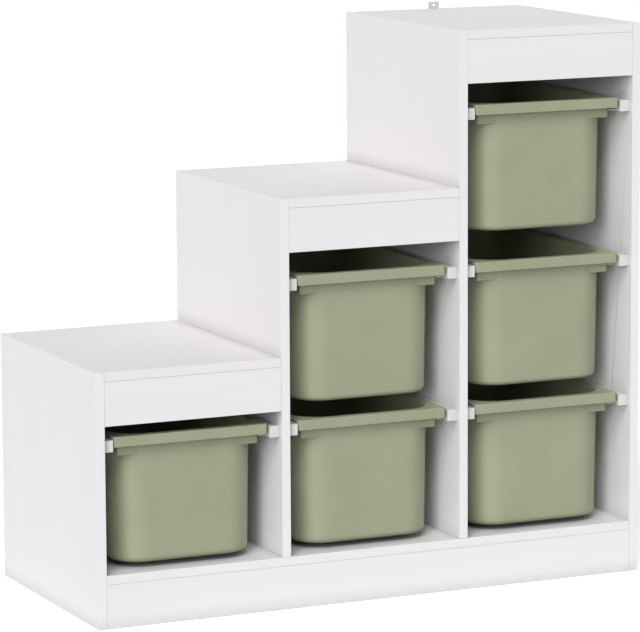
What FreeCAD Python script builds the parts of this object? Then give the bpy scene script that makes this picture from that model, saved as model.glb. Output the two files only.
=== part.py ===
import FreeCAD, Part
import math
import os

# A stepped storage frame with six pull-out bins for a child's room. Millimetres.
# +X is to the right, the open front faces -Y, +Z is up. The origin is on the floor,
# at the centre of the frame's footprint.

from FreeCAD import Vector

# ---- bins: driving sizes --------------------------------------------------------------
RIM_WIDTH = 272.0
BIN_LENGTH = 420.0
BIN_HEIGHT = 215.0
BIN_WALL = 2.2
RIM_THICKNESS = 2.5
LIP_CORNER = 6.0
RIM_ROUNDING = 1.2
SKIRT_START = 16.0              # deeper side skirt starts this far behind the front lip
BODY_END_INSET = 14.0           # front lip to the tub's front wall
BODY_CORNER = 52.0              # upright corner radius of the tub
BODY_DRAFT = 2.6                # how much each wall leans in from rim to bottom
BODY_BOTTOM_ROUNDING = 9.0
WEB_DROP = 17.0                 # square corner webs below the lip
WEB_SETBACK = 3.0               # corner web behind the tub's front wall
WEB_LENGTH = 58.0
WEB_WALL = 2.5

# ---- runners: driving sizes -----------------------------------------------------------
RUNNER_WIDTH = 17.5
RUNNER_HEIGHT = 19.0
RUNNER_WALL = 2.5
RUNNER_END_CAP = 5.0
RUNNER_FRONT_SETBACK = 9.0      # runner's front end to the boards' front edges
RUNNER_REAR_SETBACK = 20.0
LEDGE_WIDTH = 11.0              # lower flange that a bin's rim slides on
LEDGE_THICKNESS = 2.5
LEDGE_SETBACK = 24.0            # flange starts behind the square front end
PEG_DIAMETER = 6.0
PEG_FRONT_INSET = 60.0          # first peg to the runner's front end
PEG_REAR_INSET = 81.0           # second peg to its rear end
BOSS_DIAMETER = 11.0

# ---- room round the bins: driving sizes -----------------------------------------------
RIM_SIDE_PLAY = 1.5             # rim to runner, each side
RIM_RISE = 4.5                  # top of the rim above the runner's top
SLIDE_PLAY = 0.3                # rim's side skirt above the runner's flange
LIP_LEDGE_GAP = 4.0             # lower edge of the front lip above the flange
LEDGE_CLEARANCE = 2.5           # flange's edge to the tub's side wall
LIP_SETBACK = 11.0              # front lip to the boards' front edges
BIN_REAR_ROOM = 2.0             # rear lip to the back
BIN_FOOT_GAPS = (8.5, 25.0, 48.0)           # under each bin, lowest bin first
HAND_GAPS = {"low": 20.5, "mid": 40.5, "tall": 37.5}    # highest rim to the front rail

# ---- frame: driving sizes -------------------------------------------------------------
BOARD = 15.0                    # thickness of every foil-covered board
RAIL_HEIGHT = 73.0              # rail under the front edge of each top, with its joint
PLINTH_HEIGHT = 73.0
REAR_PLINTH_SETBACK = 12.0      # the rear plinth stands in from the rear edges
JOINT_GAP = 0.2                 # hairline left at every butt joint between boards
BACK_THICKNESS = 3.0            # hardboard backs
BACK_INSET = 4.0                # rear face of a back to the rear edges
GROOVE_DEPTH = 5.0
GROOVE_PLAY = 0.25              # play of a back in its grooves, each side

# ---- fittings: driving sizes ----------------------------------------------------------
FIT_PLAY = 0.1                  # radial play of a fitting in its hole
END_PLAY = 0.5                  # room past the end of a fitting in a blind hole
FACE_WEB = 5.0                  # board left behind a blind hole in its face
PEG_WEB = 2.0                   # board left between the peg holes of two columns
DOWEL_DIAMETER = 8.0
DOWEL_LENGTH = 30.0
DOWEL_BEVEL = 0.8
DOWEL_SPREAD = 40.0             # between the two dowels in a rail or plinth end
DOWEL_INSET = 110.0             # dowels of a level board, from its front and rear edges
CAM_INSET = 60.0                # cam fittings, likewise
SCREW_FRONT_INSET = 50.0        # divider screws, likewise
SCREW_REAR_INSET = 55.0

CAM_DIAMETER = 15.0
CAM_SKIN = 3.3                  # board left above a cam lock's pocket
CAM_FROM_END = 24.0             # cam lock's centre to the end of its board
CAM_POCKET_PLAY = 0.2
CAM_MOUTH_PLAY = 0.3            # room round the bolt's head in the lock and the end bore
CAM_MOUTH_REACH = 3.0           # the mouth ends this far past the lock's centre
CAM_CROSS_WIDTH = 1.6
CAM_CROSS_LENGTH = 9.0
CAM_CROSS_DEPTH = 2.5
BOLT_THREAD_DIAMETER = 6.0
BOLT_NECK_DIAMETER = 5.0
BOLT_HEAD_DIAMETER = 7.0
BOLT_HEAD_LENGTH = 2.6

SCREW_SHANK_DIAMETER = 5.0
SCREW_LENGTH = 50.0
SCREW_HEAD_DIAMETER = 10.0
SCREW_HEAD_HEIGHT = 3.5
SCREW_SOCKET = 4.0              # width across the flats of its hexagon socket
SCREW_SOCKET_DEPTH = 2.6
SCREW_SINK = 0.5                # how far the head lies below the board's face

BRACKET_WIDTH = 20.0
BRACKET_THICKNESS = 2.0
BRACKET_RISE = 12.0             # how far it stands above the tall top
BRACKET_CORNER = 2.5
BRACKET_WALL_HOLE = 5.0
BRACKET_HOLE_DROP = 6.0         # wall hole's centre below the bracket's upper edge
BRACKET_SCREW_DIAMETER = 3.5
BRACKET_SCREW_LENGTH = 16.0
BRACKET_SCREW_HEAD = 6.6
BRACKET_SCREW_HEAD_HEIGHT = 1.8
BRACKET_CROSS_LENGTH = 3.6      # cross recess in its screw's head
BRACKET_CROSS_WIDTH = 0.9
BRACKET_CROSS_DEPTH = 0.9
BRACKET_RECESS_PLAY = 0.1

# ---- derived sizes and places ---------------------------------------------------------
COLUMNS = ("low", "mid", "tall")
UPRIGHTS = ("left_side_panel", "divider_low_mid", "divider_mid_tall", "right_side_panel")
BAY = RIM_WIDTH + 2.0 * (RIM_SIDE_PLAY + RUNNER_WIDTH)
PITCH = BAY + BOARD
FRAME_WIDTH = len(COLUMNS) * PITCH + BOARD
FRAME_DEPTH = LIP_SETBACK + BIN_LENGTH + BIN_REAR_ROOM + BACK_THICKNESS + BACK_INSET
FRONT = -FRAME_DEPTH / 2.0
REAR = FRAME_DEPTH / 2.0
FLOOR_TOP = PLINTH_HEIGHT + BOARD               # upper face of the bottom panel
BACK_FRONT_FACE = REAR - BACK_INSET - BACK_THICKNESS
SKIRT_DEPTH = RIM_RISE + RUNNER_HEIGHT - LEDGE_THICKNESS - SLIDE_PLAY
LIP_HEIGHT = RIM_RISE + RUNNER_HEIGHT - LEDGE_THICKNESS - LIP_LEDGE_GAP
BODY_SIDE_INSET = LEDGE_WIDTH - RIM_SIDE_PLAY + LEDGE_CLEARANCE
RUNNER_LENGTH = FRAME_DEPTH - RUNNER_FRONT_SETBACK - RUNNER_REAR_SETBACK
PEG_LENGTH = (BOARD - PEG_WEB) / 2.0 - END_PLAY
PEG_INSETS = (PEG_FRONT_INSET, RUNNER_LENGTH - PEG_REAR_INSET)
DOWEL_IN_FACE = BOARD - FACE_WEB - END_PLAY
CAM_HEIGHT = BOARD - CAM_SKIN - CAM_POCKET_PLAY
CAM_MOUTH_WIDTH = BOLT_HEAD_DIAMETER + 2.0 * CAM_MOUTH_PLAY
DOWEL_ROWS = (FRONT + DOWEL_INSET, REAR - DOWEL_INSET)
CAM_ROWS = (FRONT + CAM_INSET, REAR - CAM_INSET)
SCREW_ROWS = (FRONT + SCREW_FRONT_INSET, REAR - SCREW_REAR_INSET)
BRACKET_SEAT = REAR - BRACKET_THICKNESS         # the bracket lies flush in the rear edge
TALL_CENTRE = FRAME_WIDTH / 2.0 - BOARD - BAY / 2.0


def rim_tops():
    """Height of each bin's rim above the floor, lowest bin first."""
    heights = []
    below = FLOOR_TOP
    for gap in BIN_FOOT_GAPS:
        below += gap + BIN_HEIGHT
        heights.append(below)
    return heights


def top_heights():
    """Height of each column's top above the floor, from the rim of its highest bin."""
    heights = {}
    for column, rim_top in zip(COLUMNS, rim_tops()):
        heights[column] = rim_top + HAND_GAPS[column] + RAIL_HEIGHT + BOARD
    return heights


RIM_TOPS = rim_tops()
TOP_HEIGHTS = top_heights()


def upright_left(index):
    """X of the left face of upright 0 (outer left) to 3 (outer right)."""
    return -FRAME_WIDTH / 2.0 + index * PITCH


def bay_left(column):
    """X of the left wall of a column's bay."""
    return upright_left(COLUMNS.index(column)) + BOARD


def box(low, high):
    """A solid box between two corners."""
    size = [b - a for a, b in zip(low, high)]
    return Part.makeBox(size[0], size[1], size[2], Vector(*low))


def rod(diameter, length, start, axis):
    """A round bar from a start point along an axis."""
    return Part.makeCylinder(diameter / 2.0, length, Vector(*start), Vector(*axis))


def rounded_outline(half_x, y_low, y_high, radius, z):
    """A closed rectangle outline, centred in X, with four round corners, at one height."""
    centres = (
        (half_x - radius, y_low + radius, -90.0),
        (half_x - radius, y_high - radius, 0.0),
        (-half_x + radius, y_high - radius, 90.0),
        (-half_x + radius, y_low + radius, 180.0),
    )
    bends = []
    for x, y, start in centres:
        angles = [math.radians(start + turn) for turn in (0.0, 45.0, 90.0)]
        bends.append([Vector(x + radius * math.cos(a), y + radius * math.sin(a), z) for a in angles])
    edges = []
    for number, bend in enumerate(bends):
        following = bends[(number + 1) % len(bends)]
        edges.append(Part.Arc(*bend).toShape())
        edges.append(Part.LineSegment(bend[-1], following[0]).toShape())
    return Part.Wire(edges)


def edges_at(shape, z, tolerance=0.01):
    """The edges of a shape that lie flat at one height."""
    found = []
    for edge in shape.Edges:
        bounds = edge.BoundBox
        if abs(bounds.ZMin - z) < tolerance and abs(bounds.ZMax - z) < tolerance:
            found.append(edge)
    return found


# ---- bin ------------------------------------------------------------------------------
def tub_solid(shrink, drop, rounding):
    """The tub's round-cornered body, drawn in by a wall thickness for its hollow."""
    half_top = RIM_WIDTH / 2.0 - BODY_SIDE_INSET - shrink
    front_top = BODY_END_INSET + shrink
    rear_top = BIN_LENGTH - BODY_END_INSET - shrink
    corner = BODY_CORNER - shrink
    floor = -BIN_HEIGHT + drop
    top = rounded_outline(half_top, front_top, rear_top, corner, 0.0)
    lean = BODY_DRAFT
    bottom = rounded_outline(half_top - lean, front_top + lean, rear_top - lean, corner, floor)
    body = Part.makeLoft([bottom, top], True, True)
    return body.makeFillet(rounding, edges_at(body, floor))


def prism(half_x, y_low, y_high, radius, z_low, z_high):
    """An upright block with a round-cornered rectangle outline."""
    outline = rounded_outline(half_x, y_low, y_high, radius, z_low)
    return Part.Face(outline).extrude(Vector(0, 0, z_high - z_low))


def corner_webs():
    """The four square corners under the rim, open below, that stiffen the tub."""
    half = RIM_WIDTH / 2.0 - BODY_SIDE_INSET
    y_low = BODY_END_INSET + WEB_SETBACK
    y_high = BIN_LENGTH - y_low
    low = -LIP_HEIGHT - WEB_DROP
    webs = []
    for side in (-1, 1):
        for y_corner, inward in ((y_low, 1), (y_high, -1)):
            x_range = sorted((side * half, side * (half - WEB_LENGTH)))
            y_range = sorted((y_corner, y_corner + inward * WEB_LENGTH))
            x_inner = sorted((side * (half - WEB_WALL), side * (half - WEB_LENGTH)))
            y_inner = sorted((y_corner + inward * WEB_WALL, y_corner + inward * WEB_LENGTH))
            outer = box((x_range[0], y_range[0], low), (x_range[1], y_range[1], -RIM_THICKNESS))
            inner = box((x_inner[0], y_inner[0], low), (x_inner[1], y_inner[1], -RIM_THICKNESS))
            webs.append(outer.cut(inner))
    return webs


def make_bin():
    """One bin: front lip at Y = 0, rim's upper face at Z = 0, centred in X."""
    half = RIM_WIDTH / 2.0
    rim = prism(half, 0.0, BIN_LENGTH, LIP_CORNER, -SKIRT_DEPTH, 0.0)
    rim = rim.makeFillet(RIM_ROUNDING, edges_at(rim, 0.0))
    inner_half = half - RIM_THICKNESS
    inner_end = BIN_LENGTH - RIM_THICKNESS
    inner_corner = LIP_CORNER - RIM_THICKNESS
    rim_hollow = prism(inner_half, RIM_THICKNESS, inner_end, inner_corner, -SKIRT_DEPTH, -RIM_THICKNESS)
    rim = rim.cut(rim_hollow)
    for y_low, y_high in ((0.0, SKIRT_START), (BIN_LENGTH - SKIRT_START, BIN_LENGTH)):
        rim = rim.cut(box((-half, y_low, -SKIRT_DEPTH), (half, y_high, -LIP_HEIGHT)))
    outer = tub_solid(0.0, 0.0, BODY_BOTTOM_ROUNDING)
    hollow = tub_solid(BIN_WALL, BIN_WALL, BODY_BOTTOM_ROUNDING - BIN_WALL)
    shell = rim.fuse([outer] + corner_webs())
    shell = shell.cut(hollow)
    return shell.removeSplitter()


# ---- runner ---------------------------------------------------------------------------
def make_runner():
    """One left-hand runner: wall at X = 0, front end at Y = 0, upper face at Z = 0."""
    rail = box((0.0, 0.0, -RUNNER_HEIGHT), (RUNNER_WIDTH, RUNNER_LENGTH, 0.0))
    pocket_low = (0.0, RUNNER_END_CAP, RUNNER_WALL - RUNNER_HEIGHT)
    pocket_high = (RUNNER_WIDTH - RUNNER_WALL, RUNNER_LENGTH - RUNNER_END_CAP, -RUNNER_WALL)
    rail = rail.cut(box(pocket_low, pocket_high))
    ledge_low = (RUNNER_WIDTH - RUNNER_WALL, LEDGE_SETBACK, -RUNNER_HEIGHT)
    ledge_high = (RUNNER_WIDTH + LEDGE_WIDTH, RUNNER_LENGTH, LEDGE_THICKNESS - RUNNER_HEIGHT)
    rail = rail.fuse(box(ledge_low, ledge_high))
    for inset in PEG_INSETS:
        boss = rod(BOSS_DIAMETER, RUNNER_WIDTH, (0.0, inset, -RUNNER_HEIGHT / 2.0), (1, 0, 0))
        peg = rod(PEG_DIAMETER, PEG_LENGTH, (-PEG_LENGTH, inset, -RUNNER_HEIGHT / 2.0), (1, 0, 0))
        rail = rail.fuse([boss, peg])
    return rail.removeSplitter()


def peg_holes(index):
    """Holes for every runner peg in upright 0 to 3, on whichever faces carry runners."""
    holes = []
    diameter = PEG_DIAMETER + 2.0 * FIT_PLAY
    depth = PEG_LENGTH + END_PLAY
    left = upright_left(index)
    faces = []
    if index > 0:
        faces.append((COLUMNS[index - 1], left, 1))
    if index < len(COLUMNS):
        faces.append((COLUMNS[index], left + BOARD, -1))
    for column, face, inward in faces:
        for rim_top in RIM_TOPS[:COLUMNS.index(column) + 1]:
            peg_height = rim_top - RIM_RISE - RUNNER_HEIGHT / 2.0
            for inset in PEG_INSETS:
                start = (face, FRONT + RUNNER_FRONT_SETBACK + inset, peg_height)
                holes.append(rod(diameter, depth, start, (inward, 0, 0)))
    return holes


# ---- fittings -------------------------------------------------------------------------
def bay_ends():
    """Both ends of every column's top and rail: the upright's face, which way the boards
    run from it along X, and the column."""
    ends = []
    for column in COLUMNS:
        left = bay_left(column)
        ends.append((left, 1, column))
        ends.append((left + BAY, -1, column))
    return ends


def base_ends():
    """Both ends of the boards that run between the outer panels, in the same way."""
    return ((upright_left(0) + BOARD, 1), (upright_left(3), -1))


def dowel_places():
    """Start point and axis of every dowel, listed once for the pins and for their holes."""
    places = []
    for face, into_board, column in bay_ends():
        start_x = face - into_board * DOWEL_IN_FACE
        axis = (into_board, 0, 0)
        rail_middle = TOP_HEIGHTS[column] - BOARD - RAIL_HEIGHT / 2.0
        for offset in (-DOWEL_SPREAD / 2.0, DOWEL_SPREAD / 2.0):
            places.append(((start_x, FRONT + BOARD / 2.0, rail_middle + offset), axis))
        for y in DOWEL_ROWS:
            places.append(((start_x, y, TOP_HEIGHTS[column] - BOARD / 2.0), axis))
    for face, into_board in base_ends():
        start_x = face - into_board * DOWEL_IN_FACE
        axis = (into_board, 0, 0)
        for y in DOWEL_ROWS:
            places.append(((start_x, y, PLINTH_HEIGHT + BOARD / 2.0), axis))
        for y in (FRONT + BOARD / 2.0, REAR - REAR_PLINTH_SETBACK - BOARD / 2.0):
            for offset in (-DOWEL_SPREAD / 2.0, DOWEL_SPREAD / 2.0):
                places.append(((start_x, y, PLINTH_HEIGHT / 2.0 + offset), axis))
    for index in (1, 2):
        centre = upright_left(index) + BOARD / 2.0
        for y in DOWEL_ROWS:
            places.append(((centre, y, FLOOR_TOP - DOWEL_IN_FACE), (0, 0, 1)))
    return places


def make_dowel(start, axis, play=0.0):
    """A dowel with a small bevel at both ends, or the plain hole that takes it."""
    direction = Vector(*axis)
    if play:
        begin = Vector(*start) - direction * END_PLAY
        length = DOWEL_LENGTH + 2.0 * END_PLAY
        return Part.makeCylinder(DOWEL_DIAMETER / 2.0 + play, length, begin, direction)
    pin = Part.makeCylinder(DOWEL_DIAMETER / 2.0, DOWEL_LENGTH, Vector(*start), direction)
    ends = [edge for edge in pin.Edges if edge.Closed]
    return pin.makeChamfer(DOWEL_BEVEL, ends)


def cam_places():
    """Face X, direction into the board, Y and the height of the board for every cam fitting."""
    places = []
    for face, into_board, column in bay_ends():
        for y in CAM_ROWS:
            places.append((face, into_board, y, TOP_HEIGHTS[column] - BOARD))
    for face, into_board in base_ends():
        for y in CAM_ROWS:
            places.append((face, into_board, y, PLINTH_HEIGHT))
    return places


def make_cam_lock(face, into_board, y, underside):
    """A round lock let into the board's underside, with a mouth for the bolt's head."""
    centre_x = face + into_board * CAM_FROM_END
    middle = underside + BOARD / 2.0
    lock = rod(CAM_DIAMETER, CAM_HEIGHT, (centre_x, y, underside), (0, 0, 1))
    reach = sorted((centre_x + into_board * CAM_MOUTH_REACH, centre_x - into_board * CAM_DIAMETER))
    half = CAM_MOUTH_WIDTH / 2.0
    mouth = box((reach[0], y - half, middle - half), (reach[1], y + half, underside + BOARD))
    lock = lock.cut(mouth)
    arm = CAM_CROSS_LENGTH / 2.0
    half_cross = CAM_CROSS_WIDTH / 2.0
    for x_half, y_half in ((arm, half_cross), (half_cross, arm)):
        cut_low = (centre_x - x_half, y - y_half, underside)
        cut_high = (centre_x + x_half, y + y_half, underside + CAM_CROSS_DEPTH)
        lock = lock.cut(box(cut_low, cut_high))
    return lock


def make_cam_bolt(face, into_board, y, underside):
    """A bolt driven into the upright's face, its head held in the lock."""
    middle = underside + BOARD / 2.0
    axis = (into_board, 0, 0)
    thread_start = (face - into_board * DOWEL_IN_FACE, y, middle)
    thread = rod(BOLT_THREAD_DIAMETER, DOWEL_IN_FACE, thread_start, axis)
    neck_length = CAM_FROM_END - BOLT_HEAD_LENGTH / 2.0
    neck = rod(BOLT_NECK_DIAMETER, neck_length, (face, y, middle), axis)
    head_start = (face + into_board * neck_length, y, middle)
    head = rod(BOLT_HEAD_DIAMETER, BOLT_HEAD_LENGTH, head_start, axis)
    return thread.fuse([neck, head]).removeSplitter()


def cam_holes(face, into_board, y, underside):
    """The pocket, the end bore and the bolt's hole in the upright, for one cam fitting."""
    middle = underside + BOARD / 2.0
    centre_x = face + into_board * CAM_FROM_END
    pocket_diameter = CAM_DIAMETER + 2.0 * CAM_POCKET_PLAY
    pocket = rod(pocket_diameter, CAM_HEIGHT + CAM_POCKET_PLAY, (centre_x, y, underside), (0, 0, 1))
    bore = rod(CAM_MOUTH_WIDTH, CAM_FROM_END, (face, y, middle), (into_board, 0, 0))
    thread_length = DOWEL_IN_FACE + END_PLAY
    thread_diameter = BOLT_THREAD_DIAMETER + 2.0 * FIT_PLAY
    thread = rod(thread_diameter, thread_length, (face, y, middle), (-into_board, 0, 0))
    return pocket.fuse(bore), thread


def screw_places():
    """Centre of each divider screw on the bottom panel's underside."""
    places = []
    for index in (1, 2):
        for y in SCREW_ROWS:
            places.append((upright_left(index) + BOARD / 2.0, y))
    return places


def make_divider_screw(x, y):
    """A countersunk screw with a hexagon socket, up through the bottom panel."""
    low = PLINTH_HEIGHT + SCREW_SINK
    base = Vector(x, y, low)
    head = Part.makeCone(SCREW_HEAD_DIAMETER / 2.0, SCREW_SHANK_DIAMETER / 2.0, SCREW_HEAD_HEIGHT, base)
    shank = rod(SCREW_SHANK_DIAMETER, SCREW_LENGTH, (x, y, low), (0, 0, 1))
    screw = head.fuse(shank)
    socket_radius = SCREW_SOCKET / math.sqrt(3.0)
    angles = [math.radians(60.0 * corner) for corner in range(7)]
    corners = [base + Vector(math.cos(angle), math.sin(angle), 0) * socket_radius for angle in angles]
    socket = Part.Face(Part.makePolygon(corners)).extrude(Vector(0, 0, SCREW_SOCKET_DEPTH))
    return screw.cut(socket).removeSplitter()


def divider_screw_hole(x, y):
    """Clearance for one divider screw through the bottom panel and up into the divider."""
    low = PLINTH_HEIGHT
    depth = SCREW_SINK + SCREW_LENGTH + END_PLAY
    shank = rod(SCREW_SHANK_DIAMETER + 2.0 * FIT_PLAY, depth, (x, y, low), (0, 0, 1))
    wide = SCREW_HEAD_DIAMETER / 2.0 + FIT_PLAY
    narrow = SCREW_SHANK_DIAMETER / 2.0 + FIT_PLAY
    entry = rod(2.0 * wide, SCREW_SINK, (x, y, low), (0, 0, 1))
    sink = Part.makeCone(wide, narrow, SCREW_HEAD_HEIGHT, Vector(x, y, low + SCREW_SINK))
    return shank.fuse([entry, sink])


# ---- boards ---------------------------------------------------------------------------
def back_box(column, play=0.0):
    """A column's back, or with play the grooves that take its four edges."""
    reach = GROOVE_DEPTH if play else GROOVE_DEPTH - GROOVE_PLAY
    left = bay_left(column)
    low = (left - reach, BACK_FRONT_FACE - play, FLOOR_TOP - reach)
    ceiling = TOP_HEIGHTS[column] - BOARD
    high = (left + BAY + reach, BACK_FRONT_FACE + BACK_THICKNESS + play, ceiling + reach)
    return box(low, high)


def frame_boards():
    """Every board of the frame before drilling, by name."""
    boards = {}
    for index, name in enumerate(UPRIGHTS):
        left = upright_left(index)
        foot = FLOOR_TOP + JOINT_GAP if "divider" in name else 0.0
        taller = COLUMNS[min(index, len(COLUMNS) - 1)]
        boards[name] = box((left, FRONT, foot), (left + BOARD, REAR, TOP_HEIGHTS[taller]))
    inner_low = upright_left(0) + BOARD + JOINT_GAP
    inner_high = upright_left(3) - JOINT_GAP
    boards["bottom_panel"] = box((inner_low, FRONT, PLINTH_HEIGHT), (inner_high, REAR, FLOOR_TOP))
    rear_plinth = REAR - REAR_PLINTH_SETBACK
    plinth_top = PLINTH_HEIGHT - JOINT_GAP
    boards["plinth_front"] = box((inner_low, FRONT, 0.0), (inner_high, FRONT + BOARD, plinth_top))
    boards["plinth_rear"] = box((inner_low, rear_plinth - BOARD, 0.0), (inner_high, rear_plinth, plinth_top))
    for column in COLUMNS:
        low_x = bay_left(column) + JOINT_GAP
        high_x = bay_left(column) + BAY - JOINT_GAP
        top = TOP_HEIGHTS[column]
        boards["top_panel_" + column] = box((low_x, FRONT, top - BOARD), (high_x, REAR, top))
        underside = top - BOARD
        rail_low = (low_x, FRONT, underside - RAIL_HEIGHT)
        boards["front_rail_" + column] = box(rail_low, (high_x, FRONT + BOARD, underside - JOINT_GAP))
    return boards


def cut_from(boards, names, cutters):
    """Cut the same shapes from each named board that they reach."""
    for name in names:
        board = boards[name]
        near = [cutter for cutter in cutters if board.BoundBox.intersect(cutter.BoundBox)]
        if near:
            boards[name] = board.cut(near)


def drill(boards):
    """Grooves for the backs and holes for every fitting."""
    every = list(boards)
    cut_from(boards, every, [back_box(column, GROOVE_PLAY) for column in COLUMNS])
    cut_from(boards, every, [make_dowel(start, axis, FIT_PLAY) for start, axis in dowel_places()])
    pockets = []
    threads = []
    for place in cam_places():
        pocket, thread = cam_holes(*place)
        pockets.append(pocket)
        threads.append(thread)
    level_boards = [name for name in every if name not in UPRIGHTS]
    cut_from(boards, level_boards, pockets)
    cut_from(boards, UPRIGHTS, threads)
    cut_from(boards, every, [divider_screw_hole(x, y) for x, y in screw_places()])
    for index, name in enumerate(UPRIGHTS):
        boards[name] = boards[name].cut(peg_holes(index))
    cut_from(boards, ["top_panel_tall"], [bracket_recess(), bracket_screw_hole()])


# ---- wall bracket ---------------------------------------------------------------------
def bracket_screw_height():
    """Height of the screw in the middle of the tall top's rear edge."""
    return TOP_HEIGHTS["tall"] - BOARD / 2.0


def bracket_recess():
    """Shallow seat in the tall top's rear edge that keeps the bracket flush."""
    half = BRACKET_WIDTH / 2.0 + BRACKET_RECESS_PLAY
    top = TOP_HEIGHTS["tall"]
    return box((TALL_CENTRE - half, BRACKET_SEAT, top - BOARD), (TALL_CENTRE + half, REAR, top))


def bracket_screw_hole():
    """Pilot hole for the bracket's screw."""
    start = (TALL_CENTRE, BRACKET_SEAT, bracket_screw_height())
    return rod(BRACKET_SCREW_DIAMETER + 2.0 * FIT_PLAY, BRACKET_SCREW_LENGTH, start, (0, -1, 0))


def make_wall_bracket():
    """A flat steel tab with a lower hole for its screw and an upper one for the wall."""
    half = BRACKET_WIDTH / 2.0
    low = TOP_HEIGHTS["tall"] - BOARD
    high = TOP_HEIGHTS["tall"] + BRACKET_RISE
    plate = box((TALL_CENTRE - half, BRACKET_SEAT, low), (TALL_CENTRE + half, REAR, high))
    upright_edges = []
    for edge in plate.Edges:
        bounds = edge.BoundBox
        if bounds.YLength > BRACKET_THICKNESS / 2.0 and bounds.ZMax > TOP_HEIGHTS["tall"]:
            upright_edges.append(edge)
    plate = plate.makeFillet(BRACKET_CORNER, upright_edges)
    wall_hole_start = (TALL_CENTRE, BRACKET_SEAT, high - BRACKET_HOLE_DROP)
    wall_hole = rod(BRACKET_WALL_HOLE, BRACKET_THICKNESS, wall_hole_start, (0, 1, 0))
    screw_diameter = BRACKET_SCREW_DIAMETER + 2.0 * FIT_PLAY
    screw_hole_start = (TALL_CENTRE, BRACKET_SEAT, bracket_screw_height())
    screw_hole = rod(screw_diameter, BRACKET_THICKNESS, screw_hole_start, (0, 1, 0))
    sink_start = Vector(TALL_CENTRE, REAR - BRACKET_SCREW_HEAD_HEIGHT, bracket_screw_height())
    sink_width = BRACKET_SCREW_HEAD + 2.0 * FIT_PLAY
    sink = Part.makeCone(screw_diameter / 2.0, sink_width / 2.0, BRACKET_SCREW_HEAD_HEIGHT, sink_start,
                         Vector(0, 1, 0))
    return plate.cut([wall_hole, screw_hole, sink])


def make_bracket_screw():
    """The countersunk screw that holds the bracket, driven in from the rear."""
    z = bracket_screw_height()
    head = Part.makeCone(BRACKET_SCREW_DIAMETER / 2.0, BRACKET_SCREW_HEAD / 2.0, BRACKET_SCREW_HEAD_HEIGHT,
                         Vector(TALL_CENTRE, REAR - BRACKET_SCREW_HEAD_HEIGHT, z), Vector(0, 1, 0))
    shank = rod(BRACKET_SCREW_DIAMETER, BRACKET_SCREW_LENGTH, (TALL_CENTRE, REAR, z), (0, -1, 0))
    screw = head.fuse(shank)
    arm = BRACKET_CROSS_LENGTH / 2.0
    slot = BRACKET_CROSS_WIDTH / 2.0
    for x_half, z_half in ((arm, slot), (slot, arm)):
        low = (TALL_CENTRE - x_half, REAR - BRACKET_CROSS_DEPTH, z - z_half)
        high = (TALL_CENTRE + x_half, REAR, z + z_half)
        screw = screw.cut(box(low, high))
    return screw.removeSplitter()


# ---- assembly -------------------------------------------------------------------------
def export(name, shape):
    """Write one named piece."""
    shape.exportStep("parts/" + name + ".step")


def main():
    """Build every piece and write it under its own name."""
    os.makedirs("parts", exist_ok=True)
    boards = frame_boards()
    drill(boards)
    for name, board in boards.items():
        export(name, board)
    for column in COLUMNS:
        export("back_panel_" + column, back_box(column))

    bin_shape = make_bin()
    left_runner = make_runner()
    right_runner = left_runner.mirror(Vector(0, 0, 0), Vector(1, 0, 0))
    for number, column in enumerate(COLUMNS):
        left = bay_left(column)
        for level, rim_top in enumerate(RIM_TOPS[:number + 1], start=1):
            label = column + "_" + str(level)
            left_place = Vector(left, FRONT + RUNNER_FRONT_SETBACK, rim_top - RIM_RISE)
            export("runner_" + label + "_left", left_runner.translated(left_place))
            export("runner_" + label + "_right", right_runner.translated(left_place + Vector(BAY, 0, 0)))
            bin_place = Vector(left + BAY / 2.0, FRONT + LIP_SETBACK, rim_top)
            export("bin_" + label, bin_shape.translated(bin_place))

    export("dowels", Part.makeCompound([make_dowel(start, axis) for start, axis in dowel_places()]))
    export("cam_bolts", Part.makeCompound([make_cam_bolt(*place) for place in cam_places()]))
    export("cam_locks", Part.makeCompound([make_cam_lock(*place) for place in cam_places()]))
    export("divider_screws", Part.makeCompound([make_divider_screw(x, y) for x, y in screw_places()]))
    export("wall_bracket", make_wall_bracket())
    export("bracket_screw", make_bracket_screw())


main()
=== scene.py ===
import math

import bpy
import numpy as np
from mathutils import Matrix, Vector


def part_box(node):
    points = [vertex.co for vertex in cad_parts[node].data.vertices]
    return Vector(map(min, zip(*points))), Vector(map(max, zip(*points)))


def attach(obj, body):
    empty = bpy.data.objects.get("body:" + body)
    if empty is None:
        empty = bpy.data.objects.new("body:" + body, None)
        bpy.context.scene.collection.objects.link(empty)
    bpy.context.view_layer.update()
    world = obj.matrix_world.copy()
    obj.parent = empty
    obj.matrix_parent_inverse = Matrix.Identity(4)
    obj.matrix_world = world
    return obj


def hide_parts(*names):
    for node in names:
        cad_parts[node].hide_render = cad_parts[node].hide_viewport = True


# A stepped white storage frame with six sage-green bins on short runners. Metres, with the
# open front facing -Y and +Z up. The boards, runners and fittings come with the frame and get
# their finishes here; the six bins are moulded anew, as thin shells with rounded edges.

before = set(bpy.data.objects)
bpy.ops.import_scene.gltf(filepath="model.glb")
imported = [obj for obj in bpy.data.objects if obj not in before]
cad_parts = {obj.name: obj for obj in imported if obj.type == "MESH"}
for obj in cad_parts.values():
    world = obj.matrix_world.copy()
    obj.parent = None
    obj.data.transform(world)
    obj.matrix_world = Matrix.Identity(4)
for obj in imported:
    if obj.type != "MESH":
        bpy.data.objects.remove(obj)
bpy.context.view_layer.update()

MM = 0.001
COLUMNS = ("low", "mid", "tall")
BINS = [(column, level) for count, column in enumerate(COLUMNS, 1) for level in range(1, count + 1)]

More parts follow.
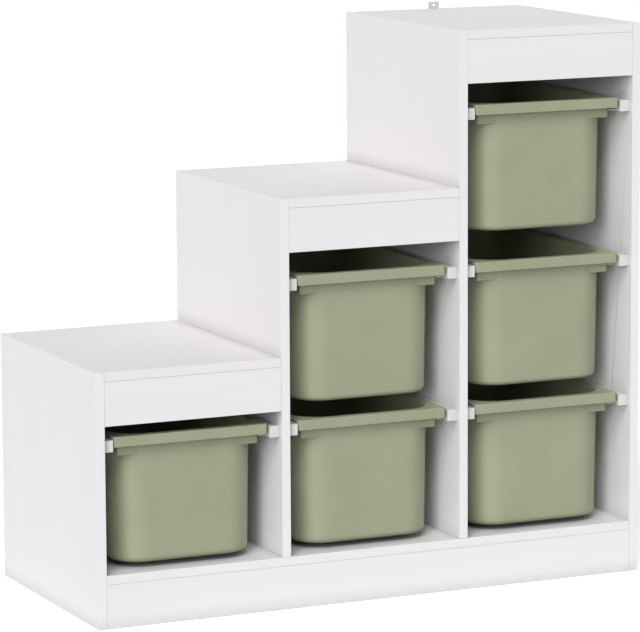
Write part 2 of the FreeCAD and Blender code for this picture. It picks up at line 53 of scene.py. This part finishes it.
# ---- bin sizes ------------------------------------------------------------------------
BIN_WALL = 2.2 * MM
RIM_THICKNESS = 2.5 * MM
RIM_CORNER = 6.0 * MM           # upright corners of the rim
RIM_ROUNDING = 1.2 * MM         # outer upper edge of the rim
OPENING_ROUNDING = 3.0 * MM     # edge where the rim turns down into the tub
SKIRT_EDGE = 0.5 * MM           # bevel of the skirt's lower edges
LIP_HEIGHT = 17.0 * MM          # front and rear of the skirt
SKIRT_HEIGHT = 20.7 * MM        # its sides, which slide on the runners
SKIRT_START = 16.0 * MM         # the sides are deeper from this far behind the lip
SKIRT_STEP = 0.001              # share of half the bin's length in which they turn deeper
TUB_SIDE_INSET = 12.0 * MM
TUB_END_INSET = 14.0 * MM
TUB_CORNER = 52.0 * MM
TUB_DRAFT = 2.6 * MM            # lean of each wall over the full height
TUB_FOOT = 9.0 * MM             # rounding between the walls and the floor
NECK_ROUNDING = 1.6 * MM        # between the tub's wall and the rim's underside
FOOT_RING = 7.0 * MM            # flat ring that the tub stands on
FOOT_STEP = 0.8 * MM            # the floor inside the ring is this much higher
WEB_DROP = 17.0 * MM            # square corner webs below the lip
WEB_SIDE_SETBACK = 0.1 * MM
WEB_END_SETBACK = 3.0 * MM
WEB_WALL = 2.5 * MM
WEB_CORNER = 2.8 * MM
WEB_EDGE = 0.8 * MM
CORNER_STEPS = 20               # points on each quarter turn of an outline
ROUNDING_STEPS = 5
FOOT_STEPS = 12

# ---- the photograph's view ------------------------------------------------------------
CAMERA_AZIMUTH = 24.69          # degrees round to the left of straight on
CAMERA_ELEVATION = 9.09
CAMERA_ROLL = -0.32
CAMERA_DISTANCE = 6.4985
CAMERA_LENS = 215.69            # mm, on a 36 mm sensor
CAMERA_AIM = Vector((-0.0014, -0.0046, 0.4465))
VIEW_DEPTH = 200.0

# ---- light ----------------------------------------------------------------------------
SKY_LIGHT = 0.27                # what the sky gives the object; it looks pure white all the same
FLOOR_COLOUR = "#F4F3F4"
FLOOR_GLOW = 0.45               # it is only seen and lights nothing
FLOOR_REACH = 60.0
CORNER_SHADE_REACH = 25.0 * MM        # painted shade reaches this far out from inner corners
# how much of the colour the painted corner shade takes away
CORNER_SHADE_STRENGTH = 0.4

# ---- finish sizes ---------------------------------------------------------------------
EASED_EDGE = 0.5 * MM           # every board's and runner's edges
WELD_DISTANCE = 0.01 * MM
FLAT_ANGLE = math.radians(0.5)  # faces that meet flatter than this become one
EDGE_ANGLE = math.radians(80.0)
SMOOTH_ANGLE = math.radians(40.0)
X_AXIS = 0
Z_AXIS = 2
PORE_WIDTH = 2.0 * MM
BAND_WIDTH = 14.0 * MM
GRAIN_STRETCH = 45.0            # pores and bands are this many times longer than wide
ROLLER_MARKS = 3.0 * MM
WIRE_PITCH = 1.2 * MM
REAR_SKIN = 0.5 * MM            # the wire screen shows on this much of the back's thickness
FLOW_MARKS = 70.0 * MM
ORANGE_PEEL = 0.8 * MM
FLECK_WIDTH = 0.7 * MM
FLECK_STRETCH = 12.0


# ---- meshes ---------------------------------------------------------------------------
def arc(start, stop, steps):
    """Angles in radians along an arc given in degrees, both ends included."""
    return np.radians(np.linspace(start, stop, steps))


def walk_round(turning_point):
    """One walk round a rounded rectangle, anticlockwise from the front right corner. Each step
    holds a side factor, an end factor and an angle. On a corner both factors are 1 or -1 and the
    angle turns through 90 degrees; on a straight the angle rests and one factor runs to its
    other sign. The long sides have two steps close together at plus and minus turning_point."""
    close = turning_point - SKIRT_STEP
    long_side = np.array([-turning_point, -close, -0.5, 0.0, 0.5, close, turning_point])
    short_side = np.array([0.5, 0.0, -0.5])
    sides = []
    ends = []
    angles = []
    for side, end, start in ((1, -1, -90.0), (1, 1, 0.0), (-1, 1, 90.0), (-1, -1, 180.0)):
        turn = arc(start, start + 90.0, CORNER_STEPS)
        straight = long_side if side != end else short_side
        still = np.ones(len(straight))
        sides += [np.full(CORNER_STEPS, side), side * (still if side != end else straight)]
        ends += [np.full(CORNER_STEPS, end), side * straight if side != end else end * still]
        angles += [turn, turn[-1] * still]
    return np.concatenate(sides), np.concatenate(ends), np.concatenate(angles)


def outline(walk, half_x, half_y, corner):
    """Points of rounded rectangles, one to a row: the middle of the corner's circle, which is the
    radius inside both half sizes and is scaled by the walk's factors, plus the radius along the
    walk's angle."""
    side, end, angle = walk
    x = side * (half_x - corner) + corner * np.cos(angle)
    y = end * (half_y - corner) + corner * np.sin(angle)
    return x, y


def ring_faces(rows, columns):
    """Four-cornered faces between neighbouring rings of points, each ring closed on itself."""
    row = np.arange(rows - 1)[:, None] * columns
    here = np.arange(columns)
    after = (here + 1) % columns
    quads = np.stack([row + here, row + after, row + columns + after, row + columns + here], -1)
    return quads.reshape(-1, 4)


def fan_faces(ring, point):
    """Three-cornered faces from a closed ring of point numbers to one point in its middle."""
    return np.stack([ring, np.roll(ring, -1), np.full(len(ring), point)], -1)


def make_piece(name, points, faces, material, body):
    """One smooth mesh from points and lists of corner numbers, riding on its body."""
    mesh = bpy.data.meshes.new(name)
    mesh.from_pydata(points.tolist(), [], faces)
    mesh.polygons.foreach_set("use_smooth", np.ones(len(mesh.polygons), bool))
    mesh.set_sharp_from_angle(angle=SMOOTH_ANGLE)
    mesh.materials.append(material)
    piece = bpy.data.objects.new(name, mesh)
    bpy.context.scene.collection.objects.link(piece)
    piece.modifiers.new("even shading", "WEIGHTED_NORMAL").keep_sharp = True
    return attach(piece, body)


# ---- bins -----------------------------------------------------------------------------
def tub_section(half_x, half_y, height, wall):
    """Rows of half width, half length, corner radius and height for the tub, from its floor up to
    the foot of its wall: a raised middle, a flat ring, and a quarter circle whose radius eases
    the ring into the wall. A wall thickness draws the same shape in for the hollow."""
    foot = TUB_FOOT - wall
    inset = wall + TUB_DRAFT * (1.0 - TUB_FOOT / height)
    floor = wall - height
    steps = [(foot + FOOT_RING + FOOT_STEP, floor + FOOT_STEP), (foot + FOOT_RING, floor)]
    for a in arc(0.0, 90.0, FOOT_STEPS):
        steps.append((foot * (1.0 - math.sin(a)), floor + foot * (1.0 - math.cos(a))))
    wall_x = half_x - inset
    wall_y = half_y - inset
    corner = TUB_CORNER - wall
    return [(wall_x - way, wall_y - way, corner - way, z) for way, z in steps]


def bin_shell(rim_x, rim_y, height):
    """Points and faces of one bin about the middle of its rim, whose top is at height 0. Closed
    rounded rectangles follow the section: from the middle of the floor up the tub's outside, out
    under the rim, round the skirt's lower edge, up the lip, over the rim and down inside."""
    tub_x = rim_x - TUB_SIDE_INSET
    tub_y = rim_y - TUB_END_INSET
    rows = tub_section(tub_x, tub_y, height, 0.0)
    for a in arc(0.0, 90.0, ROUNDING_STEPS):
        out = NECK_ROUNDING * (1.0 - math.cos(a))
        z = -RIM_THICKNESS - NECK_ROUNDING * (1.0 - math.sin(a))
        rows.append((tub_x + out, tub_y + out, TUB_CORNER + out, z))
    edges = [(RIM_THICKNESS, -RIM_THICKNESS)]
    first_skirt_row = len(rows) + len(edges)
    edges += [(RIM_THICKNESS, SKIRT_EDGE), (RIM_THICKNESS - SKIRT_EDGE, 0.0)]
    edges += [(SKIRT_EDGE, 0.0), (0.0, SKIRT_EDGE)]
    last_skirt_row = len(rows) + len(edges) - 1
    for a in arc(0.0, 90.0, ROUNDING_STEPS):
        edges.append((RIM_ROUNDING * (1.0 - math.cos(a)), -RIM_ROUNDING * (1.0 - math.sin(a))))
    rows += [(rim_x - way, rim_y - way, RIM_CORNER - way, z) for way, z in edges]
    for a in arc(90.0, 0.0, ROUNDING_STEPS):
        way = BIN_WALL - OPENING_ROUNDING * (1.0 - math.cos(a))
        z = -OPENING_ROUNDING * (1.0 - math.sin(a))
        rows.append((tub_x - way, tub_y - way, TUB_CORNER - way, z))
    rows += reversed(tub_section(tub_x, tub_y, height, BIN_WALL))

    walk = walk_round((rim_y - SKIRT_START) / (rim_y - RIM_CORNER))
    half_x, half_y, corner, level = np.array(rows).T[:, :, None]
    x, y = outline(walk, half_x, half_y, corner)
    z = level + np.zeros_like(x)
    skirt = slice(first_skirt_row, last_skirt_row + 1)
    z[skirt] -= np.where(np.abs(y[skirt]) < rim_y - SKIRT_START, SKIRT_HEIGHT, LIP_HEIGHT)
    count = x.size
    columns = len(walk[0])
    middles = [(0.0, 0.0, rows[0][3]), (0.0, 0.0, rows[-1][3])]
    points = np.vstack([np.stack([x, y, z], -1).reshape(-1, 3), middles])
    under = np.arange(columns)[::-1]
    inside = np.arange(count - columns, count)
    faces = ring_faces(len(rows), columns).tolist()
    faces += fan_faces(under, count).tolist() + fan_faces(inside, count + 1).tolist()
    return points, faces


def corner_web(rim_x, rim_y, side, end):
    """Points and faces of the square web under one corner of the rim. A closed upright section of
    offset and height is carried round a square corner, and both its ends stop inside the tub's
    wall, where the square meets the circle in the middle of that wall."""
    top = -RIM_THICKNESS / 2.0
    low = -LIP_HEIGHT - WEB_DROP
    offset = np.array([0.0, 0.0, WEB_EDGE, WEB_WALL - WEB_EDGE, WEB_WALL, WEB_WALL])
    level = np.array([top, low + WEB_EDGE, low, low, low + WEB_EDGE, top])
    tub_x = rim_x - TUB_SIDE_INSET
    tub_y = rim_y - TUB_END_INSET
    face_x = tub_x - WEB_SIDE_SETBACK - offset
    face_y = tub_y - WEB_END_SETBACK - offset
    circle = TUB_CORNER - BIN_WALL / 2.0
    centre_x = tub_x - TUB_CORNER
    centre_y = tub_y - TUB_CORNER
    start_x = centre_x + np.sqrt(np.maximum(circle ** 2 - (face_y - centre_y) ** 2, 0.0))
    stop_y = centre_y + np.sqrt(np.maximum(circle ** 2 - (face_x - centre_x) ** 2, 0.0))
    turn = arc(90.0, 0.0, ROUNDING_STEPS)[:, None]
    radius = WEB_CORNER - offset
    turn_x = face_x - radius + radius * np.cos(turn)
    turn_y = face_y - radius + radius * np.sin(turn)
    x = np.vstack([start_x, turn_x, face_x])
    y = np.vstack([face_y, turn_y, stop_y])
    points = np.stack([side * x, end * y, level + np.zeros_like(x)], -1).reshape(-1, 3)
    rows, columns = x.shape
    faces = ring_faces(rows, columns).tolist()
    faces += [list(range(columns))[::-1], list(range((rows - 1) * columns, rows * columns))]
    if side == end:
        faces = [face[::-1] for face in faces]
    return points, faces


def join_shells(shells):
    """Several shells of points and faces as one, with the corner numbers carried on."""
    points = []
    faces = []
    count = 0
    for shell_points, shell_faces in shells:
        points.append(shell_points)
        faces += [[corner + count for corner in face] for face in shell_faces]
        count += len(shell_points)
    return np.vstack(points), faces


def make_bins(material):
    """The six bins, each in the place and size of its node."""
    for column, level in BINS:
        node = f"bin_{column}_{level}"
        low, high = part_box(node)
        rim_x = (high.x - low.x) / 2.0
        rim_y = (high.y - low.y) / 2.0
        shells = [bin_shell(rim_x, rim_y, high.z - low.z)]
        shells += [corner_web(rim_x, rim_y, side, end) for side in (-1, 1) for end in (-1, 1)]
        points, faces = join_shells(shells)
        middle = Vector(((low.x + high.x) / 2.0, (low.y + high.y) / 2.0, high.z))
        piece = make_piece(f"moulded_{node}", points + np.array(middle), faces, material, node)
        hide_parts(node)


# ---- finishes -------------------------------------------------------------------------
def linear(colour):
    """An sRGB hex colour as the linear values that a shader takes."""
    channels = [int(colour[i:i + 2], 16) / 255.0 for i in (1, 3, 5)]
    return [c / 12.92 if c <= 0.04045 else ((c + 0.055) / 1.055) ** 2.4 for c in channels] + [1.0]


def add(tree, kind, inputs=None, **settings):
    """Adds one node with its settings, and sets or links its inputs."""
    node = tree.nodes.new(kind)
    for name, value in settings.items():
        setattr(node, name, value)
    for name, value in (inputs or {}).items():
        if isinstance(value, bpy.types.NodeSocket):
            tree.links.new(value, node.inputs[name])
        else:
            node.inputs[name].default_value = value
    return node


def new_finish(name, **inputs):
    """A material with one shader, whose plain numbers and colours are set on its own sockets."""
    material = bpy.data.materials.new(name)
    material.use_nodes = True
    tree = material.node_tree
    tree.nodes.clear()
    sockets = {key.replace("_", " "): value for key, value in inputs.items()}
    shader = add(tree, "ShaderNodeBsdfPrincipled", sockets)
    add(tree, "ShaderNodeOutputMaterial", {"Surface": shader.outputs["BSDF"]})
    return material, tree, shader


def speckle(tree, size, stretch=(1.0, 1.0, 1.0), **inputs):
    """Noise on the object's own coordinates with grains of a real size, drawn out along an axis."""
    place = add(tree, "ShaderNodeTexCoord").outputs["Object"]
    scale = [1.0 / (size * longer) for longer in stretch]
    placed = add(tree, "ShaderNodeMapping", {"Vector": place, "Scale": scale})
    settings = {"Vector": placed.outputs["Vector"], "Scale": 1.0, **inputs}
    return add(tree, "ShaderNodeTexNoise", settings).outputs["Fac"]


def spread(tree, value, low, high, start=0.3, stop=0.7):
    """Maps a noise's middle range onto two numbers."""
    inputs = {"Value": value, "From Min": start, "From Max": stop, "To Min": low, "To Max": high}
    return add(tree, "ShaderNodeMapRange", inputs).outputs["Result"]


def blend_colours(tree, value, first, second):
    """A colour between two, by a noise's middle range."""
    mix = add(tree, "ShaderNodeMix", data_type="RGBA")
    tree.links.new(spread(tree, value, 0.0, 1.0), mix.inputs[0])
    mix.inputs[6].default_value = linear(first)
    mix.inputs[7].default_value = linear(second)
    return mix.outputs[2]


def paint_corner_shade(tree, colour):
    """The colour with painted shade: a little darker where another surface is close, as in any inner
    corner.
    """
    near = add(tree, "ShaderNodeAmbientOcclusion", {"Color": colour, "Distance": CORNER_SHADE_REACH})
    inputs = {0: CORNER_SHADE_STRENGTH, 6: colour, 7: near.outputs["Color"]}
    return add(tree, "ShaderNodeMix", inputs, data_type="RGBA").outputs[2]


def bumps(tree, shader, height, depth, strength=1.0):
    """Raises and sinks the surface by a pattern, over a real depth."""
    inputs = {"Height": height, "Distance": depth, "Strength": strength}
    tree.links.new(add(tree, "ShaderNodeBump", inputs).outputs["Normal"], shader.inputs["Normal"])


def printed_foil(name, grain_axis, dark, depth):
    """White foil on particle board, printed and pressed with a wood grain: a satin white with
    faint darker streaks along the board. Real pores are 0.3 mm wide; they are drawn 2 mm wide so
    that they show from across a room."""
    material, tree, shader = new_finish(name, IOR=1.5)
    drawn_out = [1.0, 1.0, 1.0]
    drawn_out[grain_axis] = GRAIN_STRETCH
    pores = speckle(tree, PORE_WIDTH, drawn_out, Detail=4.0, Roughness=0.65)
    bands = speckle(tree, BAND_WIDTH, drawn_out, Detail=2.0, Distortion=0.6)
    both = add(tree, "ShaderNodeMath", {0: pores, 1: bands}, operation="ADD").outputs["Value"]
    half = add(tree, "ShaderNodeMath", {0: both, 1: 0.5}, operation="MULTIPLY").outputs["Value"]
    colour = blend_colours(tree, half, dark, "#F0EDF0")
    # painted shade: the foil's colour darkens in inner corners and near other surfaces
    tree.links.new(paint_corner_shade(tree, colour), shader.inputs["Base Color"])
    tree.links.new(spread(tree, half, 0.50, 0.38), shader.inputs["Roughness"])
    bumps(tree, shader, half, depth, 0.6)
    return material


def lacquered_hardboard(rear_face):
    """Thin hardboard, roller-lacquered white: smooth in front, and at the rear the imprint of the
    press's wire screen, 1.2 mm apart."""
    material, tree, shader = new_finish("lacquered hardboard", IOR=1.5, Roughness=0.48)
    roller = speckle(tree, ROLLER_MARKS, Detail=2.0)
    tree.links.new(blend_colours(tree, roller, "#E4E2E1", "#ECEAE9"), shader.inputs["Base Color"])
    coordinates = add(tree, "ShaderNodeTexCoord").outputs["Object"]
    place = add(tree, "ShaderNodeSeparateXYZ", {0: coordinates}).outputs
    wires = []
    for axis in ("X", "Z"):
        inputs = {0: place[axis], 1: 2.0 * math.pi / WIRE_PITCH}
        turned = add(tree, "ShaderNodeMath", inputs, operation="MULTIPLY").outputs["Value"]
        wires.append(add(tree, "ShaderNodeMath", {0: turned}, operation="SINE").outputs["Value"])
    inputs = {0: wires[0], 1: wires[1]}
    screen = add(tree, "ShaderNodeMath", inputs, operation="MULTIPLY").outputs["Value"]
    inputs = {0: place["Y"], 1: rear_face - REAR_SKIN}
    at_rear = add(tree, "ShaderNodeMath", inputs, operation="GREATER_THAN")
    relief = add(tree, "ShaderNodeMix", {0: at_rear.outputs["Value"], 2: roller, 3: screen})
    bumps(tree, shader, relief.outputs[0], 0.08 * MM, 0.5)
    return material


def moulded_plastic(name, dark, light, grain, roughness=0.42):
    """Polypropylene from a spark-eroded mould: even satin colour under a fine pebbled grain, with
    a slow drift of tone where the melt flowed. The grain is drawn twice its real size to show."""
    translucence = {"Subsurface_Weight": 0.06, "Subsurface_Scale": 2.0 * MM}
    material, tree, shader = new_finish(name, IOR=1.49, **translucence)
    pebbles = speckle(tree, grain, Detail=3.0, Roughness=0.6)
    flow = speckle(tree, FLOW_MARKS, Detail=1.0)
    colour = blend_colours(tree, flow, dark, light)
    # painted shade: the plastic's colour darkens in inner corners and near other surfaces
    tree.links.new(paint_corner_shade(tree, colour), shader.inputs["Base Color"])
    satin = spread(tree, pebbles, roughness + 0.05, roughness - 0.05)
    tree.links.new(satin, shader.inputs["Roughness"])
    bumps(tree, shader, pebbles, 0.05 * MM, 0.5)
    return material


def plated_metal(name, dark, light, grain, roughness=0.36):
    """Small metal fittings: zinc-plated steel or die-cast zinc, dull and slightly cloudy."""
    material, tree, shader = new_finish(name, Metallic=1.0)
    cloud = speckle(tree, grain, Detail=3.0)
    tree.links.new(blend_colours(tree, cloud, dark, light), shader.inputs["Base Color"])
    tree.links.new(spread(tree, cloud, roughness - 0.06, roughness + 0.08), shader.inputs["Roughness"])
    bumps(tree, shader, cloud, 0.03 * MM, 0.4)
    return material


def powder_coat():
    """The wall bracket's light grey powder coat: low gloss with a fine orange peel."""
    material, tree, shader = new_finish("grey powder coat", IOR=1.5, Roughness=0.45)
    peel = speckle(tree, ORANGE_PEEL, Detail=2.0)
    tree.links.new(blend_colours(tree, peel, "#CAC8CB", "#D3D1D4"), shader.inputs["Base Color"])
    bumps(tree, shader, peel, 0.04 * MM, 0.5)
    return material


def planed_beech():
    """Fluted beech dowels: pale warm wood with short darker flecks along the pin."""
    material, tree, shader = new_finish("planed beech", IOR=1.5, Roughness=0.6)
    flecks = speckle(tree, FLECK_WIDTH, (FLECK_STRETCH, 1.0, 1.0), Detail=4.0)
    tree.links.new(blend_colours(tree, flecks, "#C49A6C", "#DDBB8E"), shader.inputs["Base Color"])
    bumps(tree, shader, flecks, 0.05 * MM, 0.6)
    return material


def set_finish(node, material, edge=0.0):
    """Gives a node its finish and, where an edge radius is given, eased edges on its welded mesh."""
    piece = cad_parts[node]
    piece.data.materials.clear()
    piece.data.materials.append(material)
    if edge:
        piece.modifiers.new("joined corners", "WELD").merge_threshold = WELD_DISTANCE
        flat = piece.modifiers.new("whole faces", "DECIMATE")
        flat.decimate_type = "DISSOLVE"
        flat.angle_limit = FLAT_ANGLE
        bevel = piece.modifiers.new("eased edges", "BEVEL")
        bevel.width = edge
        bevel.segments = 2
        bevel.limit_method = "ANGLE"
        bevel.angle_limit = EDGE_ANGLE
        bevel.use_clamp_overlap = False
        bevel.harden_normals = True


def dress_frame():
    """Finishes for every board, back, runner and fitting that comes with the frame. A node takes
    the first kind in the list that its name holds, and the bins are left out."""
    level_grain = printed_foil("white foil with level grain", X_AXIS, "#EBE8EB", depth=0.06 * MM)
    upright_grain = printed_foil("white foil with upright grain", Z_AXIS, "#EEEBEE", depth=0.03 * MM)
    white = moulded_plastic("moulded white polypropylene", "#DDDCDA", "#E3E2E0", grain=0.8 * MM)
    back = lacquered_hardboard(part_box("back_panel_low")[1].y)
    bolts = plated_metal("zinc-plated steel", "#9C9C9E", "#B9B9BB", grain=2.0 * MM)
    screws = plated_metal("zinc-plated screws", "#A2A2A4", "#BDBDBF", grain=2.0 * MM)
    locks = plated_metal("die-cast zinc", "#8D8E90", "#A5A6A8", grain=1.0 * MM, roughness=0.50)
    finishes = {
        "screw": (screws, 0.0),
        "back_panel": (back, 0.0),
        "side_panel": (upright_grain, EASED_EDGE),
        "divider": (upright_grain, EASED_EDGE),
        "panel": (level_grain, EASED_EDGE),
        "plinth": (level_grain, EASED_EDGE),
        "rail": (level_grain, EASED_EDGE),
        "runner": (white, EASED_EDGE),
        "dowels": (planed_beech(), 0.0),
        "cam_bolts": (bolts, 0.0),
        "cam_locks": (locks, 0.0),
        "bracket": (powder_coat(), 0.0),
    }
    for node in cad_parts:
        if not node.startswith("bin_"):
            kind = next(kind for kind in finishes if kind in node)
            set_finish(node, *finishes[kind])


# ---- surroundings ---------------------------------------------------------------------
def seen_plainly(tree):
    """1 for rays from the camera and for mirrored or refracted ones, 0 for the rest."""
    path = add(tree, "ShaderNodeLightPath").outputs
    inputs = {0: path["Is Glossy Ray"], 1: path["Is Transmission Ray"]}
    shiny = add(tree, "ShaderNodeMath", inputs, operation="MAXIMUM").outputs["Value"]
    inputs = {0: path["Is Camera Ray"], 1: shiny}
    return add(tree, "ShaderNodeMath", inputs, operation="MAXIMUM").outputs["Value"]


def make_sky():
    """An even white sky that looks pure white, whatever light it gives the object."""
    world = bpy.data.worlds.new("white studio")
    bpy.context.scene.world = world
    world.use_nodes = True
    tree = world.node_tree
    tree.nodes.clear()
    strength = spread(tree, seen_plainly(tree), SKY_LIGHT, 1.0, 0.0, 1.0)
    sky = add(tree, "ShaderNodeBackground", {"Color": linear("#FFFFFF"), "Strength": strength})
    add(tree, "ShaderNodeOutputWorld", {"Surface": sky.outputs["Background"]})


def matt_floor():
    """Pale matt paint that keeps the object's shadow. A little glow, seen only straight or as a
    mirrored image, takes the rest of the floor to the sky's white."""
    material = bpy.data.materials.new("pale matt floor")
    material.use_nodes = True
    tree = material.node_tree
    tree.nodes.clear()
    matt = add(tree, "ShaderNodeBsdfDiffuse", {"Color": linear(FLOOR_COLOUR)})
    strength = spread(tree, seen_plainly(tree), 0.0, FLOOR_GLOW, 0.0, 1.0)
    glow = add(tree, "ShaderNodeEmission", {"Color": linear("#FFFFFF"), "Strength": strength})
    both = add(tree, "ShaderNodeAddShader", {0: matt.outputs["BSDF"], 1: glow.outputs["Emission"]})
    add(tree, "ShaderNodeOutputMaterial", {"Surface": both.outputs["Shader"]})
    return material


def make_floor():
    """One large square that the frame stands on."""
    low, high = -FLOOR_REACH, FLOOR_REACH
    corners = [(low, low, 0.0), (high, low, 0.0), (high, high, 0.0), (low, high, 0.0)]
    mesh = bpy.data.meshes.new("floor")
    mesh.from_pydata(corners, [], [(0, 1, 2, 3)])
    mesh.materials.append(matt_floor())
    floor = bpy.data.objects.new("floor", mesh)
    bpy.context.scene.collection.objects.link(floor)


def soft_light(name, azimuth, elevation, disc, strength):
    """A distant soft light that reaches the whole frame evenly. Its direction is in degrees round
    to the left of straight on and above level; it shines from a disc of the given angle."""
    data = bpy.data.lights.new(name, "SUN")
    data.angle = math.radians(disc)
    data.energy = strength
    lamp = bpy.data.objects.new(name, data)
    bpy.context.scene.collection.objects.link(lamp)
    turn = Matrix.Rotation(math.radians(-azimuth), 4, "Z")
    lamp.matrix_world = turn @ Matrix.Rotation(math.radians(90.0 - elevation), 4, "X")
    return lamp


def make_lamps():
    """A high broad light and a low one, both from the front left, and a weak one from behind."""
    soft_light("high soft light", azimuth=37.0, elevation=48.0, disc=32.0, strength=1.57)
    soft_light("low soft light", azimuth=45.5, elevation=13.0, disc=24.0, strength=1.05)
    fill = soft_light("rear fill", azimuth=-140.0, elevation=6.0, disc=30.0, strength=0.80)
    fill.visible_glossy = False


def make_camera():
    """The photograph's viewpoint: round to the left and a little above, through a long lens."""
    data = bpy.data.cameras.new("camera")
    data.lens = CAMERA_LENS
    data.clip_end = VIEW_DEPTH
    camera = bpy.data.objects.new("camera", data)
    bpy.context.scene.collection.objects.link(camera)
    turn = Matrix.Rotation(math.radians(-CAMERA_AZIMUTH), 4, "Z")
    tilt = Matrix.Rotation(math.radians(90.0 - CAMERA_ELEVATION), 4, "X")
    roll = Matrix.Rotation(math.radians(CAMERA_ROLL), 4, "Z")
    aimed = turn @ tilt @ roll
    back = aimed.to_3x3() @ Vector((0.0, 0.0, CAMERA_DISTANCE))
    camera.matrix_world = Matrix.Translation(CAMERA_AIM + back) @ aimed
    bpy.context.scene.camera = camera


dress_frame()
make_bins(moulded_plastic("sage moulded polypropylene", "#9A9F83", "#9FA488", grain=1.2 * MM))
make_sky()
make_floor()
make_lamps()
make_camera()
bpy.context.scene.view_settings.view_transform = "Standard"
